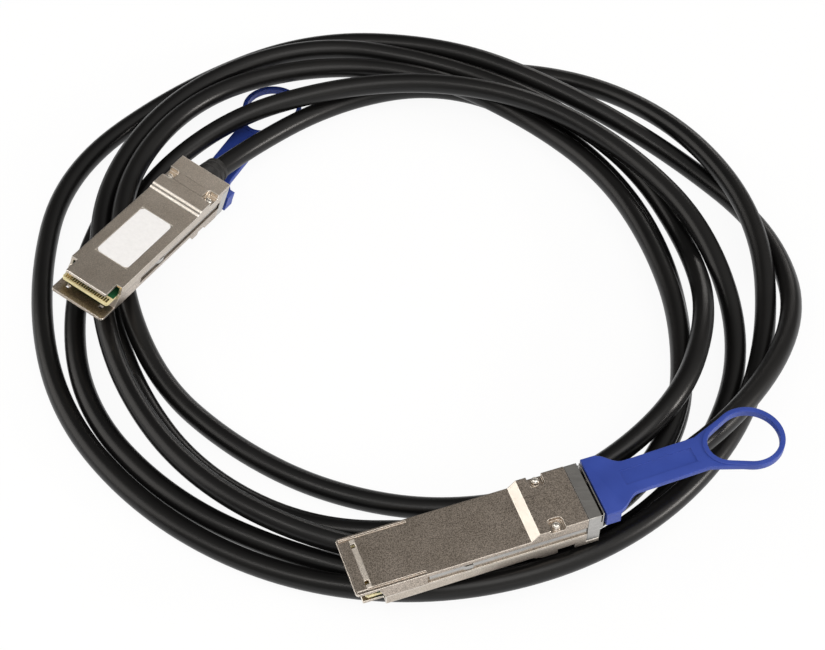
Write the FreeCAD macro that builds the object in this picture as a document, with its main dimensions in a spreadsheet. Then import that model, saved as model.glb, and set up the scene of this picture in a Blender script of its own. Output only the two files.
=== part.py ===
"""Direct attach copper cable: two four-lane pluggable plugs on one loosely coiled cable.

Each plug is built in its own frame: x runs from the nose to the back, y across, z from the
base face (0) up to the cover. Two placements then lay the plugs on the coil.
Millimetres, +Z up, origin under the middle of the coil on the surface that it lies on.
"""
import FreeCAD
import Part
import math
import os
import re
import Sketcher

Vector = FreeCAD.Vector

# ---------------------------------------------------------------- driving sizes
SIZES = {
    # nose and head of the housing
    "nose_width": 18.35, "nose_height": 8.5, "plug_length": 69.4, "floor_sheet": 0.9,
    "wall": 1.0, "lid": 1.0, "split_height": 5.0, "skirt_start": 8.1, "skirt_foot": 6.4,
    "ramp_foot": 49.3, "head_start": 51.6, "head_drop": 2.6, "cover_step": 50.2,
    "cover_rise": 1.1, "lip_corner": 1.0, "rear_wall": 1.4,
    # sunk field of the lip, its two square windows and the side gutters of the base face
    "lip_rim": 0.6, "field_end": 3.4, "field_slope": 1.5, "field_depth": 0.45, "window": 1.2,
    "window_side": 5.9, "gutter_end": 19.6, "gutter_width": 0.7, "gutter_depth": 0.6,
    # cover
    "tongue_start": 2.3, "tongue_width": 14.2, "label_place": 15.6, "label_length": 25.4,
    "label_width": 11.2, "label_recess": 0.15, "label_sheet": 0.1, "label_corner": 1.6,
    "pocket_place": 57.4, "pocket_length": 4.9, "pocket_reach": 5.4, "pocket_depth": 1.7,
    "pocket_corner": 1.2,
    "screw_inset": 2.0, "screw_side": 7.3, "screw_head": 1.25, "screw_shank": 0.7, "screw_deep": 3.1,
    # base pockets with their posts
    "base_pocket_place": 54.6, "base_pocket_length": 4.4, "base_pocket_depth": 1.3,
    "post_radius": 1.1,
    # latch slider, groove and travel
    "groove_start": 19.8, "groove_depth": 1.0, "groove_low": 1.4, "groove_high": 4.6,
    "arm_sheet": 0.4, "arm_clear": 0.1, "arm_start": 20.5, "lug_place": 29.6, "latch_travel": 2.0,
    "lug_length": 3.2, "lug_height": 1.7, "lug_proud": 0.45, "bridge_clear": 0.6, "bridge_foot": 2.6,
    # retainer band
    "band_length": 3.8, "band_sheet": 0.35, "band_top": 8.0,
    # card and its parts
    "card_front": 2.9, "card_end": 47.0, "card_inset": 1.025, "waist_inset": 1.475,
    "card_shoulder": 17.0, "card_sheet": 1.0, "card_height": 4.0,
    "pad_pitch": 0.8, "pad_width": 0.55, "pad_length": 1.8,
    "pad_sheet": 0.06, "chip_side": 3.0, "chip_height": 0.8, "chip_place": 24.0,
    # cable end and strain relief
    "cable_diameter": 6.5, "ferrule_length": 7.6, "ferrule_inset": 4.2,
    "ferrule_sheet": 0.55,
    "pair_radius": 0.6, "pair_gap": 1.5, "boot_root_wall": 1.95,
    "boot_tip_wall": 0.85, "boot_length": 9.6, "boot_neck_wall": 0.75, "boot_ring": 0.45,
    "boot_bore_clear": 0.2,
    # pull tab
    "tab_sheet": 1.7, "tab_under": 3.0, "tab_root_width": 19.0,
    "tab_clear": 1.0, "tab_root_length": 5.2, "cheek_length": 5.2,
    "flare_length": 5.2, "tab_neck_width": 10.6, "tab_cheek": 1.7, "tab_cheek_top": 5.6,
    "loop_root": 25.7, "loop_place": 38.4, "loop_radius": 9.8, "loop_bar": 2.0,
    "hole_root": 29.4, "hole_root_radius": 4.2, "loop_rise": 0.7,
    "grip_start": 0.8, "grip_end": 20.4, "grip_width": 5.0, "grip_depth": 0.25,
}
# sizes that follow from others by a clearance, a wall or a length of their own
FITTED = {
    "card_width": "nose_width - 2 * card_inset", "card_waist": "nose_width - 2 * waist_inset",
    "band_start": "plug_length - band_length", "bridge_place": "plug_length + bridge_clear",
    "ferrule_end": "plug_length - ferrule_inset", "ferrule_start": "ferrule_end - ferrule_length",
    "ferrule_radius": "cable_diameter / 2 + ferrule_sheet",
    "boot_neck": "cable_diameter / 2 + boot_neck_wall",
    "boot_root": "cable_diameter / 2 + boot_root_wall", "boot_tip": "cable_diameter / 2 + boot_tip_wall",
    "tab_root": "plug_length + tab_clear", "flare_start": "tab_root + tab_root_length",
    "tab_cheek_end": "tab_root + cheek_length",
}
PADS_PER_FACE = 19

# where each plug lies: middle of the nose, turn about z, nose-up pitch and roll; then the same
# three angles for the tab's flexible neck, which lies flat under the coil at end a
LAY = {
    "a": {"place": (-99.4, -10.7, 22.4), "turn": 63.0, "pitch": 12.7, "roll": 13.8,
          "neck": (63.0, 1.2, 0.0)},
    "b": {"place": (-17.7, -101.5, 23.9), "turn": 19.5, "pitch": 0.0, "roll": 180.0,
          "neck": (19.5, 0.0, 180.0)},
}

# moves plugs and coil together so that the origin lies under the middle of their outline
REST = (0.09, -6.87, -0.15)

# ---------------------------------------------------------------- route of the cable
# The coil turns clockwise round COIL_CENTRE. Each row is one turn: the reach from the centre
# and the height of the cable's middle at bearings 24 degrees apart, from 132 degrees down.
COIL_CENTRE = (0.0, 10.0)
FIRST_BEARING = 132.0
BEARING_STEP = 24.0
COIL_TURNS = [
    [None, (87, 5.4), (94.5, 3.4), (88, 3.4), (82.5, 3.4), (81, 3.4), (84.5, 3.4), (96, 3.4),
     (100.5, 3.4), (98.8, 4), (97.9, 9.8), (96.3, 10), (95, 10), (97.5, 10), (108, 10.7)],
    [(113, 11.4), (111.5, 10.8), (97, 10.2), (88.5, 11.2), (89.5, 7.2), (89.8, 3.4), (90.8, 16),
     (93.8, 18.6), (87.5, 6), (81.7, 3.4), (78.5, 3.4), (78.5, 3.4), (84, 3.4), (90.8, 11.2),
     (101, 14)],
    [(106.5, 12.6), (100.5, 10.8), (90, 10.8), (82, 7), (77.5, 8.6), (76.7, 9.5), (83.2, 10.3),
     (95.5, 10.3), (104.5, 11.5), (91, 8.5), (91.8, 3.4), (92, 3.4), (91.2, 3.4), (95.5, 3.4),
     (99.5, 3.4)],
    [(94, 9.4), (85.3, 13.6), (83, 15.2), (83.5, 16), (86.5, 14), (94.5, 11.3), (103, 3.4),
     (105.8, 3.4), (107.5, 3.4), (107, 3.4), (101.3, 3.4), (103.7, 3.4), (107.5, 3.4), (106, 3.4),
     (106, 3.4)],
    [(113.7, 4.9), (112.2, 3.6), (101, 3.4), (112, 3.4), (111.5, 10.2), (112.5, 10.5), (110, 5.8),
     (110.8, 8.4), (112, 10), (112.3, 10), (109.2, 3.4), (110.6, 3.4), (114.3, 3.4), (117, 3.4),
     (125.5, 3.4)],
    [(120.2, 3.4), (119.6, 4.8), (104, 12), (95.5, 12.5), (104.8, 3.4), (118, 3.4), (119, 13)],
]
# how far the cable runs straight out behind each plug before its first bend
LEAD_A = (66.0, 84.0)
LEAD_B = (98.0, 66.0)


# ---------------------------------------------------------------- document helpers
doc = FreeCAD.newDocument("DirectAttachCable")
sheet = doc.addObject("Spreadsheet::Sheet", "Sizes")
for row, (word, number) in enumerate([*SIZES.items(), *FITTED.items()], start=1):
    sheet.set(f"A{row}", word)
    sheet.set(f"B{row}", f"={number}")
    sheet.setAlias(f"B{row}", word)
doc.recompute()
SIZES.update((word, float(sheet.get(word))) for word in FITTED)


def value(text):
    """The number that an expression in sheet words stands for."""
    plain = re.sub(r"[a-z_]+", lambda m: str(SIZES.get(m.group(), m.group())), text)
    return float(sheet.evalExpression(plain))


def bound(text):
    """The same expression with every word pointing at the sheet."""
    return re.sub(r"[a-z_]+", lambda m: f"Sizes.{m.group()}" if m.group() in SIZES else m.group(), text)


def plane_of(body, role):
    """One of the body's own origin planes."""
    return next(f for f in body.Origin.OriginFeatures if f.Role == role)


def new_sketch(body, role, offset="0"):
    """An empty sketch on an origin plane, moved along its normal by an expression."""
    sketch = body.newObject("Sketcher::SketchObject", "Sketch")
    sketch.AttachmentSupport = [(plane_of(body, role), "")]
    sketch.MapMode = "FlatFace"
    if offset != "0":
        sketch.setExpression("AttachmentOffset.Base.z", bound(offset))
    return sketch


def fix_point(sketch, edge, end, across, along):
    """Hold one end of an edge at a place given by two expressions."""
    for kind, text in (("DistanceX", across), ("DistanceY", along)):
        number = sketch.addConstraint(Sketcher.Constraint(kind, -1, 1, edge, end, value(text)))
        sketch.setExpression(f"Constraints[{number}]", bound(text))


def outline(sketch, points):
    """A closed outline of straight edges through points given as expressions."""
    places = [Vector(value(x), value(y), 0) for x, y in points]
    count = len(places)
    first = sketch.GeometryCount
    for i in range(count):
        sketch.addGeometry(Part.LineSegment(places[i], places[(i + 1) % count]))
    for i in range(count):
        following = first + (i + 1) % count
        sketch.addConstraint(Sketcher.Constraint("Coincident", first + i, 2, following, 1))
        fix_point(sketch, first + i, 1, *points[i])


def round_outline(sketch, across, along, radius):
    """A circle held at a place and radius given as expressions."""
    centre = Vector(value(across), value(along), 0)
    edge = sketch.addGeometry(Part.Circle(centre, Vector(0, 0, 1), value(radius)))
    fix_point(sketch, edge, 3, across, along)
    number = sketch.addConstraint(Sketcher.Constraint("Radius", edge, value(radius)))
    sketch.setExpression(f"Constraints[{number}]", bound(radius))


def drop_outline(sketch, start, start_radius, end, end_radius):
    """A drop on the x axis: two round ends joined by their common tangents."""
    x1, r1, x2, r2 = (value(t) for t in (start, start_radius, end, end_radius))
    lean = math.asin((r2 - r1) / (x2 - x1))
    up, turn = Vector(0, 0, 1), math.pi / 2 + lean
    small = Part.ArcOfCircle(Part.Circle(Vector(x1, 0, 0), up, r1), turn, 2 * math.pi - turn)
    large = Part.ArcOfCircle(Part.Circle(Vector(x2, 0, 0), up, r2), -turn, turn)
    first = sketch.addGeometry(small)
    second = sketch.addGeometry(large)
    low = sketch.addGeometry(Part.LineSegment(small.EndPoint, large.StartPoint))
    top = sketch.addGeometry(Part.LineSegment(large.EndPoint, small.StartPoint))
    for one, one_end, other, other_end in ((first, 2, low, 1), (low, 2, second, 1),
                                           (second, 2, top, 1), (top, 2, first, 1)):
        sketch.addConstraint(Sketcher.Constraint("Tangent", one, one_end, other, other_end))
    for edge, place, radius in ((first, start, start_radius), (second, end, end_radius)):
        fix_point(sketch, edge, 3, place, "0")
        number = sketch.addConstraint(Sketcher.Constraint("Radius", edge, value(radius)))
        sketch.setExpression(f"Constraints[{number}]", bound(radius))


def loop_outline(sketch):
    """Neck and finger loop from above: straight sides that run onto the loop's round end."""
    x_neck, half, x_loop, radius = (value(t) for t in ("loop_root", "tab_neck_width / 2", "loop_place",
                                                       "loop_radius"))
    lean = math.atan2(half, x_neck - x_loop)
    touch = lean - math.acos(radius / math.hypot(x_loop - x_neck, half))
    arc = Part.ArcOfCircle(Part.Circle(Vector(x_loop, 0, 0), Vector(0, 0, 1), radius), -touch, touch)
    corners = [("loop_root", "tab_neck_width / 2"), ("0", "tab_neck_width / 2"),
               ("0", "0 - tab_neck_width / 2"), ("loop_root", "0 - tab_neck_width / 2")]
    places = [Vector(value(x), value(y), 0) for x, y in corners]
    round_end = sketch.addGeometry(arc)
    sides = [sketch.addGeometry(Part.LineSegment(arc.EndPoint, places[0]))]
    for one, other in zip(places, places[1:]):
        sides.append(sketch.addGeometry(Part.LineSegment(one, other)))
    sides.append(sketch.addGeometry(Part.LineSegment(places[-1], arc.StartPoint)))
    for one, other in zip(sides, sides[1:]):
        sketch.addConstraint(Sketcher.Constraint("Coincident", one, 2, other, 1))
    sketch.addConstraint(Sketcher.Constraint("Tangent", round_end, 2, sides[0], 1))
    sketch.addConstraint(Sketcher.Constraint("Tangent", round_end, 1, sides[-1], 2))
    for edge, (x, y) in zip(sides[1:], corners):
        fix_point(sketch, edge, 1, x, y)
    fix_point(sketch, round_end, 3, "loop_place", "0")
    number = sketch.addConstraint(Sketcher.Constraint("Radius", round_end, radius))
    sketch.setExpression(f"Constraints[{number}]", bound("loop_radius"))


def pad(body, sketch, length, both_ways=False, backwards=False):
    """Raise a sketch into a solid."""
    feature = body.newObject("PartDesign::Pad", "Pad")
    feature.Profile = sketch
    feature.setExpression("Length", bound(length))
    feature.Midplane = both_ways
    feature.Reversed = backwards
    doc.recompute()
    return feature


def pocket(body, sketch, length, both_ways=False, backwards=False):
    """Cut a sketch into the body and make sure that it removed something."""
    before = body.Shape.Volume
    feature = body.newObject("PartDesign::Pocket", "Pocket")
    feature.Profile = sketch
    feature.setExpression("Length", bound(length))
    feature.Midplane = both_ways
    feature.Reversed = backwards
    doc.recompute()
    if body.Shape.Volume > before - 1e-4:
        raise RuntimeError(f"a pocket in {body.Label} cut nothing")
    return feature


def edges_where(shape, test):
    """Names of the edges whose middle passes a test."""
    names = []
    for number, edge in enumerate(shape.Edges, start=1):
        if test(edge):
            names.append(f"Edge{number}")
    return names


def fillet(body, test, radius):
    """Round the edges of the body's tip that pass a test."""
    base = body.Tip
    feature = body.newObject("PartDesign::Fillet", "Fillet")
    feature.Base = (base, edges_where(base.Shape, test))
    feature.setExpression("Radius", bound(radius))
    doc.recompute()
    return feature


def new_body(label):
    body = doc.addObject("PartDesign::Body", label)
    body.Label = label
    return body


def box(name, place, size):
    """A Part box whose corner and size are expressions."""
    made = doc.addObject("Part::Box", name)
    for key, text in zip(("Length", "Width", "Height"), size):
        made.setExpression(key, bound(text))
    for key, text in zip("xyz", place):
        made.setExpression(f"Placement.Base.{key}", bound(text))
    return made


def rod(name, place, radius, height, along="z"):
    """A Part cylinder from a place, along z or x."""
    made = doc.addObject("Part::Cylinder", name)
    made.setExpression("Radius", bound(radius))
    made.setExpression("Height", bound(height))
    if along == "x":
        made.Placement.Rotation = FreeCAD.Rotation(Vector(0, 1, 0), 90)
    for key, text in zip("xyz", place):
        made.setExpression(f"Placement.Base.{key}", bound(text))
    return made


def compound(label, pieces):
    made = doc.addObject("Part::Compound", label)
    made.Label = label
    made.Links = pieces
    return made


# ---------------------------------------------------------------- plug pieces
HALF = "nose_width / 2"


def card_plan(front, back, clear):
    """The card's outline from above: wide at the nose, narrower between the latch grooves."""
    wide, narrow = f"(card_width / 2 + {clear})", f"(card_waist / 2 + {clear})"
    side = [(f"{front} + 0.6", wide), (f"card_shoulder + {clear}", wide),
            (f"card_shoulder + {clear}", narrow), (back, narrow)]
    other = [(x, f"0 - {y}") for x, y in reversed(side)]
    return [(front, f"{wide} - 0.6")] + side + other + [(front, f"0.6 - {wide}")]


def base_shell(side):
    """Die-cast base: lip, skirts, ramp to the head, card trough, grooves and pockets."""
    body = new_body(f"base_shell_{side}")
    profile = new_sketch(body, "XZ_Plane")
    outline(profile, [("0", "0"), ("ramp_foot", "0"), ("head_start", "0 - head_drop"),
                      ("plug_length", "0 - head_drop"), ("plug_length", "split_height"),
                      ("skirt_start", "split_height"), ("skirt_foot", "floor_sheet"),
                      ("0", "floor_sheet")])
    pad(body, profile, "nose_width", both_ways=True)
    fillet(body, lambda e: abs(e.CenterOfMass.x) < 0.01 and abs(e.CenterOfMass.y) > 5
           and e.Length < 2, "lip_corner")
    trough = new_sketch(body, "XY_Plane", "split_height")
    inner = f"{HALF} - groove_depth - wall"
    outline(trough, [("skirt_foot - 4", f"0 - ({inner})"), ("plug_length - rear_wall", f"0 - ({inner})"),
                     ("plug_length - rear_wall", inner), ("skirt_foot - 4", inner)])
    pocket(body, trough, "split_height - floor_sheet")
    card_seat = new_sketch(body, "XY_Plane", "split_height")
    outline(card_seat, card_plan("skirt_foot - 4", "card_end + 0.2", "0.1"))
    pocket(body, card_seat, "split_height - card_height + card_sheet / 2")
    well = new_sketch(body, "XY_Plane", "floor_sheet")
    reach = "ferrule_radius + 0.4"
    outline(well, [("head_start + 1", f"0 - ({reach})"), ("plug_length - rear_wall", f"0 - ({reach})"),
                   ("plug_length - rear_wall", reach), ("head_start + 1", reach)])
    pocket(body, well, "floor_sheet + head_drop - wall - 0.5")
    neck = new_sketch(body, "YZ_Plane", "plug_length")
    round_outline(neck, "0", "card_height", "boot_neck + 0.05")
    pocket(body, neck, "rear_wall + 0.1")
    for way in (-1, 1):
        boss = new_sketch(body, "XY_Plane", "floor_sheet / 2")
        round_outline(boss, "pocket_place + screw_inset", f"{way} * screw_side", "screw_shank + 0.9")
        pad(body, boss, "split_height - floor_sheet / 2")
        thread = new_sketch(body, "XY_Plane", "split_height")
        round_outline(thread, "pocket_place + screw_inset", f"{way} * screw_side", "screw_shank + 0.02")
        pocket(body, thread, "0.3")
    for way in (-1, 1):
        groove = new_sketch(body, "XZ_Plane", f"{way} * {HALF}")
        outline(groove, [("groove_start", "groove_low"), ("plug_length + 1", "groove_low"),
                         ("plug_length + 1", "groove_high"), ("groove_start", "groove_high")])
        pocket(body, groove, "groove_depth", backwards=way < 0)
        hollow = new_sketch(body, "XY_Plane", "0 - head_drop")
        near, far = f"{way} * pocket_reach", f"{way} * (nose_width / 2 + 1)"
        outline(hollow, [("base_pocket_place", near), ("base_pocket_place + base_pocket_length", near),
                         ("base_pocket_place + base_pocket_length", far), ("base_pocket_place", far)])
        pocket(body, hollow, "base_pocket_depth", backwards=True)
        fillet(body, lambda e: abs(e.CenterOfMass.y - way * value("pocket_reach")) < 0.01
               and e.CenterOfMass.z < value("0 - head_drop + base_pocket_depth")
               and abs(e.Vertexes[0].Point.z - e.Vertexes[-1].Point.z) > 1, "pocket_corner")
        post = new_sketch(body, "XY_Plane", "0 - head_drop + 0.2")
        round_outline(post, "base_pocket_place + base_pocket_length / 2", f"{way} * 7.6", "post_radius")
        pad(body, post, "base_pocket_depth")
        gutter = new_sketch(body, "XY_Plane")
        outer, inner = f"{way} * ({HALF} - lip_rim)", f"{way} * ({HALF} - lip_rim - gutter_width)"
        outline(gutter, [("lip_rim", inner), ("gutter_end", inner), ("gutter_end", outer),
                         ("lip_rim", outer)])
        pocket(body, gutter, "gutter_depth", backwards=True)
    field = new_sketch(body, "XZ_Plane")
    outline(field, [("lip_rim", "0 - 1"), ("lip_rim", "field_depth"), ("field_end", "field_depth"),
                    ("field_end + field_slope", "0"), ("field_end + field_slope", "0 - 1")])
    pocket(body, field, "nose_width - 2 * lip_rim", both_ways=True)
    for way in (-1, 1):
        window = new_sketch(body, "XY_Plane", "floor_sheet")
        left, right = f"{way} * (window_side - window / 2)", f"{way} * (window_side + window / 2)"
        outline(window, [("field_end", left), ("field_end + window", left),
                         ("field_end + window", right), ("field_end", right)])
        pocket(body, window, "floor_sheet + 1")
    under = new_sketch(body, "XZ_Plane")
    low, high = "0 - head_drop", "0 - head_drop + band_sheet"
    outline(under, [("band_start", low), ("plug_length + 1", low), ("plug_length + 1", high),
                    ("band_start", high)])
    pocket(body, under, "nose_width + 1", both_ways=True)
    for way in (-1, 1):
        flank = new_sketch(body, "XZ_Plane", f"{way} * {HALF}")
        outline(flank, [("band_start", "0 - head_drop - 1"), ("plug_length + 1", "0 - head_drop - 1"),
                        ("plug_length + 1", "split_height + 1"), ("band_start", "split_height + 1")])
        pocket(body, flank, "band_sheet", backwards=way < 0)
    return body


def cover_shell(side):
    """Die-cast cover: tongue, label bed, double step to the head, open screw pockets."""
    body = new_body(f"cover_shell_{side}")
    profile = new_sketch(body, "XZ_Plane")
    outline(profile, [("skirt_start", "split_height"), ("plug_length", "split_height"),
                      ("plug_length", "nose_height + cover_rise"),
                      ("cover_step + 2.1", "nose_height + cover_rise"),
                      ("cover_step + 1.4", "nose_height + cover_rise / 2"),
                      ("cover_step + 0.7", "nose_height + cover_rise / 2"),
                      ("cover_step", "nose_height"), ("skirt_start", "nose_height")])
    pad(body, profile, "nose_width", both_ways=True)
    tongue = new_sketch(body, "XY_Plane", "nose_height")
    outline(tongue, [("tongue_start", "0 - tongue_width / 2"), ("skirt_start + 1", "0 - tongue_width / 2"),
                     ("skirt_start + 1", "tongue_width / 2"), ("tongue_start", "tongue_width / 2")])
    pad(body, tongue, "lid", backwards=True)
    hollow = new_sketch(body, "XY_Plane", "split_height")
    inner = f"{HALF} - wall"
    outline(hollow, [("skirt_start - 1", f"0 - ({inner})"), ("plug_length - rear_wall", f"0 - ({inner})"),
                     ("plug_length - rear_wall", inner), ("skirt_start - 1", inner)])
    pocket(body, hollow, "nose_height - lid - split_height", backwards=True)
    well = new_sketch(body, "XY_Plane", "nose_height - lid - 0.5")
    reach = "ferrule_radius + 0.4"
    outline(well, [("head_start + 1", f"0 - ({reach})"), ("plug_length - rear_wall", f"0 - ({reach})"),
                   ("plug_length - rear_wall", reach), ("head_start + 1", reach)])
    pocket(body, well, "1.5", backwards=True)
    neck = new_sketch(body, "YZ_Plane", "plug_length")
    round_outline(neck, "0", "card_height", "boot_neck + 0.05")
    pocket(body, neck, "rear_wall + 0.1")
    bed = new_sketch(body, "XY_Plane", "nose_height")
    half_label = "(label_width / 2 + 0.1)"
    outline(bed, [("label_place - 0.1", f"0 - {half_label}"),
                  ("label_place + label_length + 0.1", f"0 - {half_label}"),
                  ("label_place + label_length + 0.1", half_label), ("label_place - 0.1", half_label)])
    pocket(body, bed, "label_recess")
    top = "nose_height + cover_rise"
    for way in (-1, 1):
        notch = new_sketch(body, "XY_Plane", top)
        near, far = f"{way} * pocket_reach", f"{way} * (nose_width / 2 + 1)"
        outline(notch, [("pocket_place", near), ("pocket_place + pocket_length", near),
                        ("pocket_place + pocket_length", far), ("pocket_place", far)])
        pocket(body, notch, "pocket_depth")
        fillet(body, lambda e: abs(e.CenterOfMass.y - way * value("pocket_reach")) < 0.01
               and abs(e.Vertexes[0].Point.z - e.Vertexes[-1].Point.z) > 1
               and e.CenterOfMass.x > value("pocket_place - 0.1")
               and e.CenterOfMass.x < value("pocket_place + pocket_length + 0.1"), "pocket_corner")
        boss = new_sketch(body, "XY_Plane", "split_height")
        round_outline(boss, "pocket_place + screw_inset", f"{way} * screw_side", "screw_shank + 0.9")
        pad(body, boss, "nose_height - lid - split_height + 0.1")
        shank = new_sketch(body, "XY_Plane", top)
        round_outline(shank, "pocket_place + screw_inset", f"{way} * screw_side", "screw_shank + 0.02")
        pocket(body, shank, "nose_height + cover_rise")
        flank = new_sketch(body, "XZ_Plane", f"{way} * {HALF}")
        outline(flank, [("band_start", "split_height - 1"), ("plug_length + 1", "split_height - 1"),
                        ("plug_length + 1", "band_top"), ("band_start", "band_top")])
        pocket(body, flank, "band_sheet", backwards=way < 0)
    return body


def paddle_card(side):
    """Printed circuit card with bevelled front corners."""
    body = new_body(f"paddle_card_{side}")
    plan = new_sketch(body, "XY_Plane", "card_height - card_sheet / 2")
    outline(plan, card_plan("card_front", "card_end", "0"))
    pad(body, plan, "card_sheet")
    return body


def contact_pads(side):
    """Gold contact pads in a row on each face of the card."""
    pads = []
    for face in (-1, 1):
        low = "card_height + card_sheet / 2" if face > 0 else "card_height - card_sheet / 2 - pad_sheet"
        for number in range(PADS_PER_FACE):
            middle = f"{number - (PADS_PER_FACE - 1) / 2} * pad_pitch - pad_width / 2"
            pads.append(box(f"pad_{side}", ("card_front + 0.5", middle, low),
                            ("pad_length", "pad_width", "pad_sheet")))
    return compound(f"contact_pads_{side}", pads)


def id_label(side):
    """Blank label in its bed."""
    body = new_body(f"id_label_{side}")
    plan = new_sketch(body, "XY_Plane", "nose_height - label_recess")
    half = "label_width / 2"
    outline(plan, [("label_place", f"0 - {half}"), ("label_place + label_length", f"0 - {half}"),
                   ("label_place + label_length", half), ("label_place", half)])
    pad(body, plan, "label_sheet")
    fillet(body, lambda e: abs(e.Vertexes[0].Point.z - e.Vertexes[-1].Point.z) > 0.05, "label_corner")
    return body


def cover_screws(side):
    """Two small pan-head screws that hold the cover down."""
    screws = []
    seat = "nose_height + cover_rise - pocket_depth"
    for way in (-1, 1):
        place = ("pocket_place + screw_inset", f"{way} * screw_side")
        head = rod(f"screw_head_{side}", (*place, seat), "screw_head", "0.7")
        shank = rod(f"screw_shank_{side}", (*place, f"{seat} - screw_deep"), "screw_shank",
                    "screw_deep + 0.2")
        screw = doc.addObject("Part::Fuse", f"screw_{side}")
        screw.Base = head
        screw.Tool = shank
        screws.append(screw)
    return compound(f"cover_screws_{side}", screws)


def latch_slider(side):
    """Sheet-metal slider: two arms in the side grooves, release lugs and a rear bridge."""
    body = new_body(f"latch_slider_{side}")
    outer = f"({HALF} - groove_depth + arm_clear + arm_sheet)"
    inner = f"({HALF} - groove_depth + arm_clear)"
    low, high = "groove_low + arm_clear", "groove_high - arm_clear"
    bridge = new_sketch(body, "YZ_Plane", "bridge_place")
    outline(bridge, [(f"0 - {outer}", "0 - bridge_foot"), (outer, "0 - bridge_foot"), (outer, high),
                     (f"0 - {outer}", high)])
    pad(body, bridge, "arm_sheet")
    opening = new_sketch(body, "YZ_Plane", "bridge_place + arm_sheet")
    round_outline(opening, "0", "card_height", "boot_root + 0.5")
    pocket(body, opening, "arm_sheet + 0.2")
    for way in (-1, 1):
        arm = new_sketch(body, "XZ_Plane", f"0 - {way} * {outer}")
        outline(arm, [("arm_start", low), ("bridge_place + arm_sheet", low),
                      ("bridge_place + arm_sheet", high), ("arm_start", high)])
        pad(body, arm, "arm_sheet", backwards=way < 0)
        lug = new_sketch(body, "XY_Plane", "(groove_low + groove_high) / 2 - lug_height / 2")
        start, tip = f"{way} * ({outer} - 0.1)", f"{way} * ({outer} + lug_proud)"
        outline(lug, [("lug_place", start), ("lug_place + lug_length", start),
                      ("lug_place + lug_length", tip), ("lug_place + 1.2", tip)])
        pad(body, lug, "lug_height")
    return body


def retainer_band(side):
    """Sheet-metal band round the back of the head."""
    body = new_body(f"retainer_band_{side}")
    ring = new_sketch(body, "YZ_Plane", "band_start + 0.1")
    low, sheet_in = "0 - head_drop", "band_sheet - 0.02"
    outline(ring, [(f"0 - {HALF}", low), (HALF, low), (HALF, "band_top - 0.1"),
                   (f"{HALF} - ({sheet_in})", "band_top - 0.1"),
                   (f"{HALF} - ({sheet_in})", f"{low} + {sheet_in}"),
                   (f"({sheet_in}) - {HALF}", f"{low} + {sheet_in}"),
                   (f"({sheet_in}) - {HALF}", "band_top - 0.1"), (f"0 - {HALF}", "band_top - 0.1")])
    pad(body, ring, "plug_length - band_start - 0.1")
    fillet(body, lambda e: abs(abs(e.CenterOfMass.y) - value(HALF)) < 0.01
           and abs(e.CenterOfMass.z + value("head_drop")) < 0.01, "band_sheet * 0.8")
    return body


def strain_relief(side):
    """Moulded boot: neck in the rear wall, tapered dome with two ring grooves, bore."""
    body = new_body(f"strain_relief_{side}")
    half = new_sketch(body, "XZ_Plane")
    tip = "plug_length + boot_length"
    taper = "(boot_root - boot_tip) / boot_length"
    places = [("ferrule_end + 0.6", "0"), ("ferrule_end + 0.6", "boot_neck"), ("plug_length", "boot_neck"),
              ("plug_length", "boot_root")]
    for ring in (3.4, 6.2):
        surface = f"boot_root - {ring} * {taper}"
        places += [(f"plug_length + {ring}", surface),
                   (f"plug_length + {ring + 0.2}", f"{surface} - boot_ring"),
                   (f"plug_length + {ring + 0.9}", f"{surface} - boot_ring"),
                   (f"plug_length + {ring + 1.1}", f"{surface} - 1.1 * {taper}")]
    places += [(f"{tip} - 0.8", "boot_tip + 0.1"), (tip, "boot_tip - 0.5"), (tip, "0")]
    outline(half, [(x, f"card_height + {y}") for x, y in places])
    turned = body.newObject("PartDesign::Revolution", "Revolution")
    turned.Profile = half
    axis = body.newObject("PartDesign::Line", "Axis")
    axis.Placement = FreeCAD.Placement(Vector(0, 0, value("card_height")),
                                       FreeCAD.Rotation(Vector(0, 0, 1), Vector(1, 0, 0)))
    turned.ReferenceAxis = (axis, [""])
    turned.Angle = 360
    doc.recompute()
    bore = new_sketch(body, "YZ_Plane", f"{tip} + 0.1")
    round_outline(bore, "0", "card_height", "cable_diameter / 2 + boot_bore_clear")
    pocket(body, bore, f"{tip} - ferrule_end + 1")
    return body


def neck_placement(side):
    """Where the tab's neck begins and how it lies, in the plug's own frame."""
    plug = lay_of(side).Rotation
    lies = plug.inverted().multiply(FreeCAD.Rotation(*LAY[side]["neck"]))
    start = Vector(value("flare_start"), 0, value("0 - tab_under"))
    along = (Vector(1, 0, 0) + lies.multVec(Vector(1, 0, 0))).normalize()
    return FreeCAD.Placement(start + along * value("flare_length"), lies)


def placed_sketch(body, placement):
    """An empty sketch laid anywhere, held to the body's XY plane."""
    sketch = new_sketch(body, "XY_Plane")
    sketch.AttachmentOffset = placement
    return sketch


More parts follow.
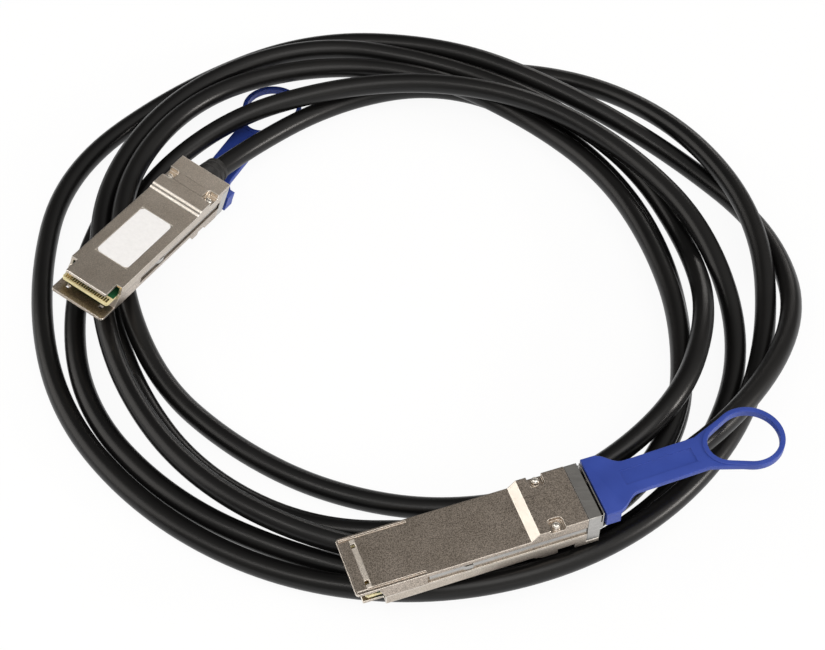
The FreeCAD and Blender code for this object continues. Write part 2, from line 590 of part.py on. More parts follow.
def pull_tab(side):
    """Moulded tab: root with two cheeks, twisting flare, and a flat neck with a finger loop."""
    body = new_body(f"pull_tab_{side}")
    bottom, root = "0 - tab_under", "tab_root_width / 2"
    neck = neck_placement(side)
    across = FreeCAD.Placement(Vector(0, 0, 0), FreeCAD.Rotation(Vector(0, 1, 0), Vector(0, 0, 1),
                                                                Vector(1, 0, 0), "ZXY"))
    block = new_sketch(body, "YZ_Plane", "tab_root")
    outline(block, [(f"0 - {root}", bottom), (root, bottom), (root, f"{bottom} + tab_sheet"),
                    (f"0 - {root}", f"{bottom} + tab_sheet")])
    pad(body, block, "flare_start - tab_root")
    wide = new_sketch(body, "YZ_Plane", "flare_start")
    outline(wide, [(f"1.4 - {root}", bottom), (f"{root} - 1.4", bottom),
                   (f"{root} - 1.4", f"{bottom} + tab_sheet"), (f"1.4 - {root}", f"{bottom} + tab_sheet")])
    narrow = placed_sketch(body, neck.multiply(across))
    outline(narrow, [("0 - tab_neck_width / 2", "0"), ("tab_neck_width / 2", "0"),
                     ("tab_neck_width / 2", "tab_sheet"), ("0 - tab_neck_width / 2", "tab_sheet")])
    flare = body.newObject("PartDesign::AdditiveLoft", "Flare")
    flare.Profile = wide
    flare.Sections = [narrow]
    flare.Ruled = True
    doc.recompute()
    plate = placed_sketch(body, neck)
    loop_outline(plate)
    pad(body, plate, "tab_sheet")
    rim = placed_sketch(body, neck)
    drop_outline(rim, "hole_root + hole_root_radius", "hole_root_radius + 1.4", "loop_place",
                 "loop_radius")
    pad(body, rim, "tab_sheet + loop_rise")
    hole = placed_sketch(body, neck)
    drop_outline(hole, "hole_root + hole_root_radius", "hole_root_radius", "loop_place",
                 "loop_radius - loop_bar")
    pocket(body, hole, "20", both_ways=True)
    grip = placed_sketch(body, neck)
    outline(grip, [("grip_start", "0 - grip_width / 2"), ("grip_end", "0 - grip_width / 2"),
                   ("grip_end", "grip_width / 2"), ("grip_start", "grip_width / 2")])
    pocket(body, grip, "grip_depth", backwards=True)
    for way in (-1, 1):
        cheek = new_sketch(body, "XY_Plane", bottom)
        outline(cheek, [("tab_root", f"{way} * ({root} - tab_cheek)"),
                        ("tab_cheek_end", f"{way} * ({root} - tab_cheek)"),
                        ("tab_cheek_end", f"{way} * ({root} - 0.4)"),
                        ("tab_cheek_end - 1.6", f"{way} * {root}"),
                        ("tab_root", f"{way} * {root}")])
        pad(body, cheek, "tab_under + tab_cheek_top")
    gullet = new_sketch(body, "YZ_Plane", "flare_start + 6")
    round_outline(gullet, "0", "card_height", "boot_root + 0.35")
    pocket(body, gullet, "13")
    return body


def crimp_ferrule(side):
    made = rod(f"crimp_ferrule_{side}", ("ferrule_start", "0", "card_height"), "ferrule_radius",
               "ferrule_end - ferrule_start", along="x")
    made.Label = f"crimp_ferrule_{side}"
    return made


def wire_pairs(side):
    """Eight insulated twin pairs between the ferrule and the back of the card."""
    pairs = []
    for face in (-1, 1):
        for column in (-1.5, -0.5, 0.5, 1.5):
            place = ("card_end - 3", f"{column} * pair_gap",
                     f"card_height + {face} * (card_sheet / 2 + pair_radius + 0.02)")
            pairs.append(rod(f"pair_{side}", place, "pair_radius", "ferrule_start - card_end + 3", along="x"))
    return compound(f"wire_pairs_{side}", pairs)


def memory_chip(side):
    made = box(f"memory_chip_{side}", ("chip_place", "0 - chip_side / 2", "card_height + card_sheet / 2"),
               ("chip_side", "chip_side", "chip_height"))
    made.Label = f"memory_chip_{side}"
    return made


PLUG_PIECES = [base_shell, cover_shell, paddle_card, contact_pads, id_label, cover_screws, latch_slider,
               retainer_band, strain_relief, pull_tab, crimp_ferrule, wire_pairs, memory_chip]


def lay_of(side):
    """The placement that lays a plug on the coil."""
    lay = LAY[side]
    turned = FreeCAD.Rotation(lay["turn"], lay["pitch"], lay["roll"])
    return FreeCAD.Placement(Vector(*REST) + Vector(*lay["place"]), turned)


# ---------------------------------------------------------------- cable
def plug_point(side, along):
    """A point on a plug's cable axis, in the frame of the whole part."""
    return lay_of(side).multVec(Vector(along, 0, value("card_height")))


def route():
    """Every corner of the cable's route, from the ferrule of plug a to that of plug b."""
    points = [plug_point("a", along) for along in LEAD_A]
    step = 0
    for turn in COIL_TURNS:
        for spot in turn:
            if spot is not None:
                bearing = math.radians(FIRST_BEARING - BEARING_STEP * step)
                points.append(Vector(*REST) + Vector(COIL_CENTRE[0] + spot[0] * math.cos(bearing),
                                                     COIL_CENTRE[1] + spot[0] * math.sin(bearing),
                                                     spot[1]))
            step += 1
    points += [plug_point("b", along) for along in LEAD_B]
    return points


def tube_path(points):
    """Straight runs joined by tangent arcs that are as large as their runs allow."""
    edges = []
    radii = []
    last = points[0]
    for before, corner, after in zip(points, points[1:], points[2:]):
        inward = (corner - before).normalize()
        outward = (after - corner).normalize()
        half_turn = inward.getAngle(outward) / 2
        shorter = min((corner - before).Length, (after - corner).Length)
        reach = 0.45 * shorter
        radius = reach / math.tan(half_turn)
        radii.append(radius)
        start, finish = corner - inward * reach, corner + outward * reach
        towards = (outward - inward).normalize()
        middle = corner + towards * (radius / math.cos(half_turn) - radius)
        edges.append(Part.LineSegment(last, start).toShape())
        edges.append(Part.Arc(start, middle, finish).toShape())
        last = finish
    edges.append(Part.LineSegment(last, points[-1]).toShape())
    return Part.Wire(edges), radii


def cable():
    """The jacketed cable as one round tube along its route."""
    points = route()
    path, radii = tube_path(points)
    spine = doc.addObject("Part::Feature", "cable_path")
    spine.Shape = path
    section = doc.addObject("Part::Circle", "cable_section")
    section.setExpression("Radius", bound("cable_diameter / 2"))
    section.Placement = FreeCAD.Placement(points[0],
                                          FreeCAD.Rotation(Vector(0, 0, 1), points[1] - points[0]))
    made = doc.addObject("Part::Sweep", "cable")
    made.Label = "cable"
    made.Sections = [section]
    made.Spine = (spine, [f"Edge{n}" for n in range(1, len(path.Edges) + 1)])
    made.Solid = True
    made.Frenet = False
    doc.recompute()
    expected = path.Length * math.pi * value("cable_diameter / 2") ** 2
    if abs(made.Shape.Volume / expected - 1) > 0.005:
        raise RuntimeError(f"cable volume {made.Shape.Volume:.0f}, expected {expected:.0f}")
    print(f"cable length {path.Length:.1f}, radii {min(radii):.1f} to {max(radii):.1f}")
    return made


# ---------------------------------------------------------------- build and write
nodes = []
for side in ("a", "b"):
    for make in PLUG_PIECES:
        piece = make(side)
        nodes.append((piece, side))
nodes.append((cable(), None))
doc.recompute()

for item in doc.Objects:
    if "Invalid" in item.State or "Error" in item.State:
        raise RuntimeError(f"{item.Name} ({item.Label}) failed: {item.State}")

os.makedirs("parts", exist_ok=True)
for piece, side in nodes:
    if side is not None:
        if piece.TypeId in ("PartDesign::Body", "Part::Compound"):
            piece.Placement = lay_of(side)
        else:
            for key in "xyz":
                piece.setExpression(f"Placement.Base.{key}", None)
            piece.Placement = lay_of(side).multiply(piece.Placement)
doc.recompute()
for piece, side in nodes:
    if piece.Shape.isNull() or not piece.Shape.isValid():
        raise RuntimeError(f"{piece.Label} has no valid shape")
    piece.Shape.exportStep(os.path.join("parts", f"{piece.Label}.step"))
    print(f"{piece.Label}: {len(piece.Shape.Solids)} solids, {piece.Shape.Volume:.1f} mm3")
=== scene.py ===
"""Looks for the direct attach copper cable: materials, cable, pull tabs, screws, light and camera."""
import bmesh
import bpy
import math
from mathutils import Euler, Matrix, Vector


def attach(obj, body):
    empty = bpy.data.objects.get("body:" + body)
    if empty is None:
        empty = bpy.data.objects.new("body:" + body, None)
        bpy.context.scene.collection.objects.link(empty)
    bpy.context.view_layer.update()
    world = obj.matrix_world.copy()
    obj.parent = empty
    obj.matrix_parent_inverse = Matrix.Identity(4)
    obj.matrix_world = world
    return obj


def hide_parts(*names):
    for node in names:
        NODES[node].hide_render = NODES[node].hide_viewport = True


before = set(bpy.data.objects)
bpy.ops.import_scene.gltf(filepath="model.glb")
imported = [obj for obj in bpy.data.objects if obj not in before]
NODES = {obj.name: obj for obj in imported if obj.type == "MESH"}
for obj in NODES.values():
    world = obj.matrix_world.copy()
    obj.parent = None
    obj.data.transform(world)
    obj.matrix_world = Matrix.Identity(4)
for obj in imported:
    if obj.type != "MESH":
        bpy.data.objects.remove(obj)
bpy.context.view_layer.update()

MM = 0.001
ROOT = "coil_and_plugs"

# ---------------------------------------------------------------- sizes shared with the frame
REST = Vector((0.09, -6.87, -0.15))
CARD_HEIGHT = 4.0
BARE_EDGE = 6.0
RUBBED_EDGE = 0.35
CABLE_DIAMETER = 6.5
LAY = {
    "a": {"place": (-99.4, -10.7, 22.4), "turn": 63.0, "pitch": 12.7, "roll": 13.8},
    "b": {"place": (-17.7, -101.5, 23.9), "turn": 19.5, "pitch": 0.0, "roll": 180.0},
}
COIL_CENTRE = (0.0, 10.0)
FIRST_BEARING = 132.0
BEARING_STEP = 24.0
COIL_TURNS = [
    [None, (87, 5.4), (94.5, 3.4), (88, 3.4), (82.5, 3.4), (81, 3.4), (84.5, 3.4), (96, 3.4),
     (100.5, 3.4), (98.8, 4), (97.9, 9.8), (96.3, 10), (95, 10), (97.5, 10), (108, 10.7)],
    [(113, 11.4), (111.5, 10.8), (97, 10.2), (88.5, 11.2), (89.5, 7.2), (89.8, 3.4), (90.8, 16),
     (93.8, 18.6), (87.5, 6), (81.7, 3.4), (78.5, 3.4), (78.5, 3.4), (84, 3.4), (90.8, 11.2),
     (101, 14)],
    [(106.5, 12.6), (100.5, 10.8), (90, 10.8), (82, 7), (77.5, 8.6), (76.7, 9.5), (83.2, 10.3),
     (95.5, 10.3), (104.5, 11.5), (91, 8.5), (91.8, 3.4), (92, 3.4), (91.2, 3.4), (95.5, 3.4),
     (99.5, 3.4)],
    [(94, 9.4), (85.3, 13.6), (83, 15.2), (83.5, 16), (86.5, 14), (94.5, 11.3), (103, 3.4),
     (105.8, 3.4), (107.5, 3.4), (107, 3.4), (101.3, 3.4), (103.7, 3.4), (107.5, 3.4), (106, 3.4),
     (106, 3.4)],
    [(113.7, 4.9), (112.2, 3.6), (101, 3.4), (112, 3.4), (111.5, 10.2), (112.5, 10.5), (110, 5.8),
     (110.8, 8.4), (112, 10), (112.3, 10), (109.2, 3.4), (110.6, 3.4), (114.3, 3.4), (117, 3.4),
     (125.5, 3.4)],
    [(120.2, 3.4), (119.6, 4.8), (104, 12), (95.5, 12.5), (104.8, 3.4), (118, 3.4), (119, 13)],
]
LEAD_A = (66.0, 84.0)
LEAD_B = (98.0, 66.0)

# ---------------------------------------------------------------- pull tab, in millimetres
# along the tab, measured as on the plug: root, end of the straight root, end of the flare
TAB_ROOT, FLARE_START, FLARE_END = 70.8, 76.2, 81.4
TAB_UNDER, TAB_SHEET = 3.0, 1.7
TAB_HALF_ROOT, TAB_HALF_NECK = 9.5, 5.25
NECK_TURN = {"a": (63.0, 1.2, 0.0), "b": (21.0, 0.0, 180.0)}
NECK_END = 103.5
LOOP_PLACE, LOOP_RADIUS, LOOP_BAR = 118.0, 9.9, 1.5
HOLE_PLACE, HOLE_RADIUS = 111.3, 5.7
RIM_WIDTH, RIM_LOW, RIM_HIGH = 1.4, -0.3, 2.0
GRIP_START, GRIP_END, GRIP_HALF, GRIP_DEPTH = 79.4, 101.0, 2.45, 0.25
CHEEK_INNER, CHEEK_FOOT, CHEEK_TOP = 7.8, 0.4, 5.6
CHEEK_INSET, CHEEK_SHORT, CHEEK_START = 0.06, 1.1, 0.1
FLARE_CUTS, FLARE_POINTS = 8, 10

# ---------------------------------------------------------------- screws and posts, in millimetres
SCREW_PLACE, SCREW_SIDE, SCREW_SEAT = 59.4, 7.3, 7.9
SCREW_HEAD, SCREW_SHANK, SCREW_DEEP = 1.25, 0.7, 3.1
RECESS_REACH, RECESS_HALF, RECESS_FLOOR, RECESS_TOP = 0.72, 0.14, 0.3, 1.2
POST_PLACE, POST_SIDE, POST_FACE = 56.8, 7.6, -2.4

# ---------------------------------------------------------------- sides of a round piece, sharp degrees
ROUND_STEPS, SHARP_ANGLE = 28, 40

# ---------------------------------------------------------------- camera, in millimetres and degrees
LENS, SENSOR = 80.1, 36.0
CAMERA_ELEVATION, CAMERA_DISTANCE = 51.15, 566.6

# ---------------------------------------------------------------- floor, sky and lamps, in metres and watts
FLOOR_REACH, FLOOR_DEPTH, FLOOR_WHITE_SHARE = 6.0, -0.0002, 0.93
SKY_BRIGHT_SIDE = (0.5, -0.5, 0.7)
SKY_DARK, SKY_BRIGHT = (0.15, (0.10, 0.098, 0.096, 1)), (0.9, (0.92, 0.90, 0.87, 1))
LAMPS = [
    ("overhead", (0.25, -0.6, 1.15), (0.9, 0.7), 4.2, (1.0, 0.975, 0.95)),
    ("west", (-1.1, 0.05, 0.62), (1.2, 1.0), 8.5, (1.0, 0.965, 0.92)),
    ("north", (0.45, 1.25, 0.4), (0.6, 0.2), 2.0, (1.0, 0.96, 0.92)),
    ("east", (1.2, -0.3, 0.42), (0.3, 0.2), 8.0, (1.0, 0.95, 0.9)),
    ("south", (0.25, -1.3, 0.2), (1.0, 0.25), 0.6, (1.0, 0.97, 0.93)),
    ("step", (-0.45, -0.4, 0.95), (0.25, 0.25), 1.2, (1.0, 0.97, 0.93)),
]


def lay_matrix(side):
    """From a plug's own millimetre frame to the millimetre frame of the part."""
    lay = LAY[side]
    turn = Euler([math.radians(lay[k]) for k in ("roll", "pitch", "turn")], "XYZ").to_matrix().to_4x4()
    turn.translation = REST + Vector(lay["place"])
    return turn


# ---------------------------------------------------------------- material helpers
class Nodes:
    """A short way to write a material's nodes."""

    def __init__(self, name):
        self.material = bpy.data.materials.new(name)
        self.material.use_nodes = True
        self.tree = self.material.node_tree
        self.shader = self.tree.nodes["Principled BSDF"]
        self.output = self.tree.nodes["Material Output"]
        self.place = self.add("ShaderNodeTexCoord").outputs["Object"]

    def add(self, kind, **settings):
        node = self.tree.nodes.new(kind)
        for key, setting in settings.items():
            setattr(node, key, setting)
        return node

    def link(self, source, target):
        self.tree.links.new(source, target)

    def noise(self, per_mm, detail=3.0, roughness=0.55, stretch=(1, 1, 1)):
        """Noise with a given number of features in a millimetre."""
        spread = self.add("ShaderNodeMapping")
        spread.inputs["Scale"].default_value = stretch
        self.link(self.place, spread.inputs["Vector"])
        grain = self.add("ShaderNodeTexNoise")
        grain.inputs["Scale"].default_value = per_mm * 1000
        grain.inputs["Detail"].default_value = detail
        grain.inputs["Roughness"].default_value = roughness
        self.link(spread.outputs["Vector"], grain.inputs["Vector"])
        return grain.outputs["Fac"]

    def ramp(self, source, stops):
        """Colours spread over a value."""
        ramp = self.add("ShaderNodeValToRGB")
        ramp.color_ramp.elements[0].position = stops[0][0]
        ramp.color_ramp.elements[0].color = (*stops[0][1], 1)
        ramp.color_ramp.elements[1].position = stops[-1][0]
        ramp.color_ramp.elements[1].color = (*stops[-1][1], 1)
        for position, colour in stops[1:-1]:
            ramp.color_ramp.elements.new(position).color = (*colour, 1)
        self.link(source, ramp.inputs["Fac"])
        return ramp.outputs["Color"]

    def spread(self, source, low, high):
        """A value remapped from 0..1 to low..high."""
        remap = self.add("ShaderNodeMapRange")
        remap.inputs["To Min"].default_value = low
        remap.inputs["To Max"].default_value = high
        self.link(source, remap.inputs["Value"])
        return remap.outputs["Result"]

    def bump(self, height, strength, distance_mm, below=None):
        bump = self.add("ShaderNodeBump")
        bump.inputs["Strength"].default_value = strength
        bump.inputs["Distance"].default_value = distance_mm * MM
        self.link(height, bump.inputs["Height"])
        if below is not None:
            self.link(below, bump.inputs["Normal"])
        return bump.outputs["Normal"]

    def finish(self, colour=None, roughness=None, normal=None, **constants):
        if colour is not None:
            self.link(colour, self.shader.inputs["Base Color"])
        if roughness is not None:
            self.link(roughness, self.shader.inputs["Roughness"])
        if normal is not None:
            self.link(normal, self.shader.inputs["Normal"])
        for key, number in constants.items():
            self.shader.inputs[key.replace("_", " ")].default_value = number
        return self.material


def facing(n, direction):
    """How squarely a face looks along a direction, either way, from 0 to 1."""
    along = n.add("ShaderNodeVectorMath", operation="DOT_PRODUCT")
    n.link(n.add("ShaderNodeNewGeometry").outputs["Normal"], along.inputs[0])
    along.inputs[1].default_value = direction
    size = n.add("ShaderNodeMath", operation="ABSOLUTE")
    n.link(along.outputs["Value"], size.inputs[0])
    return size.outputs["Value"]


def mixed(n, factor, under, over, blend="MIX"):
    """One colour laid over another by a factor, which may be a plain number."""
    mix = n.add("ShaderNodeMix", data_type="RGBA", blend_type=blend)
    if isinstance(factor, float):
        mix.inputs["Factor"].default_value = factor
    else:
        n.link(factor, mix.inputs["Factor"])
    n.link(under, mix.inputs["A"])
    n.link(over, mix.inputs["B"])
    return mix.outputs["Result"]


def cast_nickel(side, name, dark, light, contrast, grain_per_mm):
    """Grainy matte plating on a die casting, with a painted highlight in a brighter colour on its ramp
    faces, and rubbed bright at its edges.
    """
    n = Nodes(f"{name}_{side}")
    fine = n.noise(grain_per_mm, 4.0, 0.7)
    broad = n.noise(0.12, 3.0)
    tint = n.ramp(broad, [(0.3, dark), (0.7, light)])
    low, high = 1 - contrast, 1 + contrast
    speck = n.ramp(fine, [(0.40, (low, low, low)), (0.60, (high, high, high))])
    grainy = mixed(n, 1.0, tint, speck, "MULTIPLY")
    # smooth is the brighter colour: on the ramp faces it is a painted highlight, on rubbed edges it is the
    # worn plating.
    smooth = n.ramp(broad, [(0.3, (0.70, 0.64, 0.57)), (0.7, (0.78, 0.73, 0.66))])
    black, white = (0, 0, 0), (1, 1, 1)
    # Painted highlight: faces turned along the plug's length, the ramp faces, get the brighter colour in
    # place of the light they catch.
    painted_ramp_highlight = n.ramp(facing(n, lay_matrix(side).to_3x3() @ Vector((1, 0, 0))),
                   [(0.20, black), (0.30, white), (0.90, white), (0.96, black)])
    rounded = n.add("ShaderNodeBevel", samples=6)
    rounded.inputs["Radius"].default_value = RUBBED_EDGE * MM
    flatness = n.add("ShaderNodeVectorMath", operation="DOT_PRODUCT")
    n.link(rounded.outputs["Normal"], flatness.inputs[0])
    n.link(n.add("ShaderNodeNewGeometry").outputs["Normal"], flatness.inputs[1])
    rubbed = n.ramp(flatness.outputs["Value"], [(0.86, white), (0.985, black)])
    colour = mixed(n, rubbed, mixed(n, painted_ramp_highlight, grainy, smooth), smooth)
    return n.finish(colour, n.spread(fine, 0.26, 0.40), n.bump(fine, 0.35, 0.05, rounded.outputs["Normal"]),
                    Metallic=1.0)


def polished_edge():
    """Plating rubbed bright along the edges of a casting."""
    n = Nodes("polished_edge")
    fine = n.noise(2.0, 3.0)
    tint = n.ramp(fine, [(0.3, (0.78, 0.73, 0.66)), (0.7, (0.90, 0.86, 0.80))])
    return n.finish(tint, n.spread(fine, 0.22, 0.36), n.bump(fine, 0.1, 0.02), Metallic=1.0)


def sheet_steel():
    """Thin spring steel with a faint rolled grain."""
    n = Nodes("sheet_steel")
    grain = n.noise(1.2, 4.0, 0.6, (0.15, 1, 1))
    tint = n.ramp(grain, [(0.3, (0.38, 0.37, 0.355)), (0.7, (0.47, 0.46, 0.44))])
    return n.finish(tint, n.spread(grain, 0.16, 0.28), n.bump(grain, 0.15, 0.02), Metallic=1.0)


def screw_steel():
    """Plain bright steel of screws and post ends."""
    n = Nodes("screw_steel")
    grain = n.noise(4.0, 3.0)
    tint = n.ramp(grain, [(0.3, (0.60, 0.57, 0.52)), (0.7, (0.74, 0.71, 0.66))])
    return n.finish(tint, n.spread(grain, 0.2, 0.36), n.bump(grain, 0.2, 0.02), Metallic=1.0)


def gold():
    """Gold plating of the contact pads."""
    n = Nodes("gold_plate")
    grain = n.noise(3.0, 2.0)
    tint = n.ramp(grain, [(0.3, (0.72, 0.50, 0.18)), (0.7, (0.86, 0.62, 0.26))])
    return n.finish(tint, n.spread(grain, 0.2, 0.34), Metallic=1.0)


def card(side):
    """Green solder mask on both faces and cream laminate round the cut edges."""
    n = Nodes(f"circuit_card_{side}")
    weave = n.noise(1.6, 2.0)
    mask = n.ramp(weave, [(0.3, (0.010, 0.070, 0.026)), (0.7, (0.020, 0.110, 0.045))])
    laminate = n.ramp(weave, [(0.3, (0.62, 0.55, 0.30)), (0.7, (0.74, 0.67, 0.40))])
    broadside = n.ramp(facing(n, lay_matrix(side).to_3x3() @ Vector((0, 0, 1))),
                       [(0.55, (0, 0, 0)), (0.65, (1, 1, 1))])
    along = n.add("ShaderNodeVectorMath", operation="DOT_PRODUCT")
    n.link(n.place, along.inputs[0])
    ahead = lay_matrix(side).to_3x3() @ Vector((1, 0, 0))
    along.inputs[1].default_value = ahead
    masked = n.add("ShaderNodeMath", operation="GREATER_THAN")
    n.link(along.outputs["Value"], masked.inputs[0])
    masked.inputs[1].default_value = (lay_matrix(side) @ Vector((BARE_EDGE, 0, 0))).dot(ahead) * MM
    covered = n.add("ShaderNodeMath", operation="MULTIPLY")
    n.link(broadside, covered.inputs[0])
    n.link(masked.outputs["Value"], covered.inputs[1])
    colour = mixed(n, covered.outputs["Value"], laminate, mask)
    return n.finish(colour, n.spread(weave, 0.3, 0.42), n.bump(weave, 0.1, 0.02))


def label():
    """White film, very slightly uneven."""
    n = Nodes("label_film")
    grain = n.noise(0.8, 4.0)
    tint = n.ramp(grain, [(0.3, (0.74, 0.74, 0.745)), (0.7, (0.79, 0.79, 0.795))])
    return n.finish(tint, n.spread(grain, 0.38, 0.5), n.bump(grain, 0.08, 0.02))


def blue_plastic():
    """Satin moulded plastic with a fine spark-eroded texture."""
    n = Nodes("blue_plastic")
    fine = n.noise(3.5, 3.0)
    broad = n.noise(0.08, 2.0)
    tint = n.ramp(broad, [(0.3, (0.020, 0.046, 0.26)), (0.7, (0.028, 0.060, 0.32))])
    return n.finish(tint, n.spread(fine, 0.36, 0.50), n.bump(fine, 0.25, 0.02), Specular_IOR_Level=0.4)


def black_boot():
    """Moulded rubber-like plastic, dull, with faint flow marks."""
    n = Nodes("black_boot")
    fine = n.noise(2.5, 4.0)
    tint = n.ramp(fine, [(0.3, (0.010, 0.0097, 0.0095)), (0.7, (0.018, 0.0172, 0.0165))])
    return n.finish(tint, n.spread(fine, 0.46, 0.60), n.bump(fine, 0.3, 0.03), Specular_IOR_Level=0.35)


def jacket():
    """Extruded black jacket: satin, with a faint orange-peel surface and rubbed patches."""
    n = Nodes("jacket")
    fine = n.noise(1.5, 3.0)
    patch = n.noise(0.03, 4.0)
    tint = n.ramp(patch, [(0.3, (0.0025, 0.0025, 0.0027)), (0.7, (0.0055, 0.0052, 0.0050))])
    rough = n.spread(patch, 0.26, 0.38)
    return n.finish(tint, rough, n.bump(fine, 0.15, 0.03), Specular_IOR_Level=0.3)


def wire():
    """Pale film round the conductor pairs."""
    n = Nodes("wire_film")
    grain = n.noise(1.0, 3.0)
    tint = n.ramp(grain, [(0.3, (0.55, 0.54, 0.52)), (0.7, (0.66, 0.65, 0.63))])
    return n.finish(tint, n.spread(grain, 0.3, 0.45), Metallic=0.4)


def chip():
    """Dull black moulding resin."""
    n = Nodes("chip_resin")
    grain = n.noise(4.0, 3.0)
    tint = n.ramp(grain, [(0.3, (0.012, 0.012, 0.012)), (0.7, (0.03, 0.03, 0.03))])
    return n.finish(tint, n.spread(grain, 0.5, 0.65), n.bump(grain, 0.2, 0.02))


MATERIALS = {
    "edge": polished_edge(), "sheet": sheet_steel(), "screw": screw_steel(), "gold": gold(),
    "label": label(), "tab": blue_plastic(), "boot": black_boot(), "jacket": jacket(), "wire": wire(),
    "chip": chip(),
}
for side in "ab":
    MATERIALS[f"card_{side}"] = card(side)
    # Painted light in part: the base shells' darker tone is painted shade on plug b's face, which shows its
    # base, and the cover shells' lighter tone is a painted highlight on plug a's cover; the base's stronger
    # grain is the plating's own.
    MATERIALS[f"cast_base_{side}"] = cast_nickel(
        side, "cast_base", (0.38, 0.325, 0.27), (0.47, 0.405, 0.345), 0.5, 3.4)
    MATERIALS[f"cast_cover_{side}"] = cast_nickel(
        side, "cast_cover", (0.48, 0.42, 0.355), (0.56, 0.50, 0.43), 0.22, 3.4)
FINISH = {
    "base_shell": "cast_base", "cover_shell": "cast_cover", "paddle_card": "card", "contact_pads": "gold",
    "id_label": "label", "cover_screws": "screw", "latch_slider": "sheet", "retainer_band": "sheet",
    "strain_relief": "boot", "pull_tab": "tab", "crimp_ferrule": "sheet", "wire_pairs": "wire",
    "memory_chip": "chip",
}
BY_SIDE = ("card", "cast_base", "cast_cover")
SOFT_EDGES = {"base_shell": 0.2, "cover_shell": 0.2, "pull_tab": 0.35, "retainer_band": 0.08,
              "latch_slider": 0.06, "paddle_card": 0.05, "cover_screws": 0.12, "strain_relief": 0.2}


def soften(item, width_mm, edge_slot=-1):
    """Rounds the sharp edges of a shown piece by a small width."""
    weld = item.modifiers.new("weld", "WELD")
    weld.merge_threshold = 0.002 * MM
    bevel = item.modifiers.new("soft_edges", "BEVEL")
    bevel.width = width_mm * MM
    bevel.segments = 2
    bevel.limit_method = "ANGLE"
    bevel.angle_limit = math.radians(35)
    bevel.harden_normals = False
    bevel.material = edge_slot


def paint_frame():
    """Gives every CAD node its material and its softened edges."""
    for name, item in NODES.items():
        if name == "cable":
            continue
        kind, side = name.rsplit("_", 1)
        finish = FINISH[kind]
        if finish in BY_SIDE:
            finish = f"{finish}_{side}"
        item.data.materials.clear()
        item.data.materials.append(MATERIALS[finish])
        cast = finish.startswith("cast")
        if cast:
            item.data.materials.append(MATERIALS["edge"])
        if kind in SOFT_EDGES:
            soften(item, SOFT_EDGES[kind], 1 if cast else -1)


# ---------------------------------------------------------------- cable
def route():
    """Control points of the cable's line, in metres."""
    points = [lay_matrix("a") @ Vector((along, 0, CARD_HEIGHT)) for along in LEAD_A]
    step = 0
    for turn in COIL_TURNS:
        for spot in turn:
            if spot is not None:
                bearing = math.radians(FIRST_BEARING - BEARING_STEP * step)
                points.append(REST + Vector((COIL_CENTRE[0] + spot[0] * math.cos(bearing),
                                             COIL_CENTRE[1] + spot[0] * math.sin(bearing), spot[1])))
            step += 1
    points += [lay_matrix("b") @ Vector((along, 0, CARD_HEIGHT)) for along in LEAD_B]
    return [p * MM for p in points]


def build_cable():
    """The jacket as one smooth round tube."""
    points = route()
    line = bpy.data.curves.new("jacket_line", "CURVE")
    line.dimensions = "3D"
    line.resolution_u = 14
    line.bevel_depth = CABLE_DIAMETER / 2 * MM
    line.bevel_resolution = 8
    line.use_fill_caps = True
    spline = line.splines.new("NURBS")
    spline.points.add(len(points) - 1)
    for spot, place in zip(spline.points, points):
        spot.co = (*place, 1)
    spline.order_u = 3
    spline.use_endpoint_u = True
    spline.use_smooth = True
    item = bpy.data.objects.new("jacketed_cable", line)
    bpy.context.scene.collection.objects.link(item)
    line.materials.append(MATERIALS["jacket"])
    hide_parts("cable")
    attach(item, ROOT)


# ---------------------------------------------------------------- moulded and turned pieces
def put_piece(name, mesh, finish):
    """Puts a finished mesh in the scene, smooth but for its sharp edges."""
    mesh.materials.clear()
    mesh.materials.append(MATERIALS[finish])
    mesh.polygons.foreach_set("use_smooth", [True] * len(mesh.polygons))
    mesh.set_sharp_from_angle(angle=math.radians(SHARP_ANGLE))
    item = bpy.data.objects.new(name, mesh)
    bpy.context.scene.collection.objects.link(item)
    return item


# ---------------------------------------------------------------- pull tab
def arc(centre, radius, start, finish, steps):
    """Points round a centre on the tab's middle line, both ends taken in."""
    turns = [start + (finish - start) * i / steps for i in range(steps + 1)]
    return [(centre + radius * math.cos(t), radius * math.sin(t)) for t in turns]


def drop(near, near_radius, far, far_radius):
    """A closed drop: two round ends joined by their common tangents."""
    turn = math.pi / 2 + math.asin((far_radius - near_radius) / (far - near))
    return arc(far, far_radius, -turn, turn, 40) + arc(near, near_radius, turn, 2 * math.pi - turn, 20)


def tab_outline():
    """Root, concave flare, straight neck, and sides that run onto the loop's round end."""
    side = [(TAB_ROOT, TAB_HALF_ROOT), (FLARE_START - 1.0, TAB_HALF_ROOT)]
    start, finish = FLARE_START - 0.6, FLARE_END + 0.6
    for i in range(FLARE_POINTS + 1):
        share = i / FLARE_POINTS
        fall = (TAB_HALF_ROOT - 0.4 - TAB_HALF_NECK) * (1 + math.cos(math.pi * share ** 0.8)) / 2
        side.append((start + (finish - start) * share, TAB_HALF_NECK + fall))
    side.append((NECK_END, TAB_HALF_NECK))
    reach = math.hypot(LOOP_PLACE - NECK_END, TAB_HALF_NECK)
    touch = math.atan2(TAB_HALF_NECK, NECK_END - LOOP_PLACE) - math.acos(LOOP_RADIUS / reach)
    round_end = arc(LOOP_PLACE, LOOP_RADIUS, touch, -touch, 48)
    return side + round_end + [(x, -y) for x, y in reversed(side)]


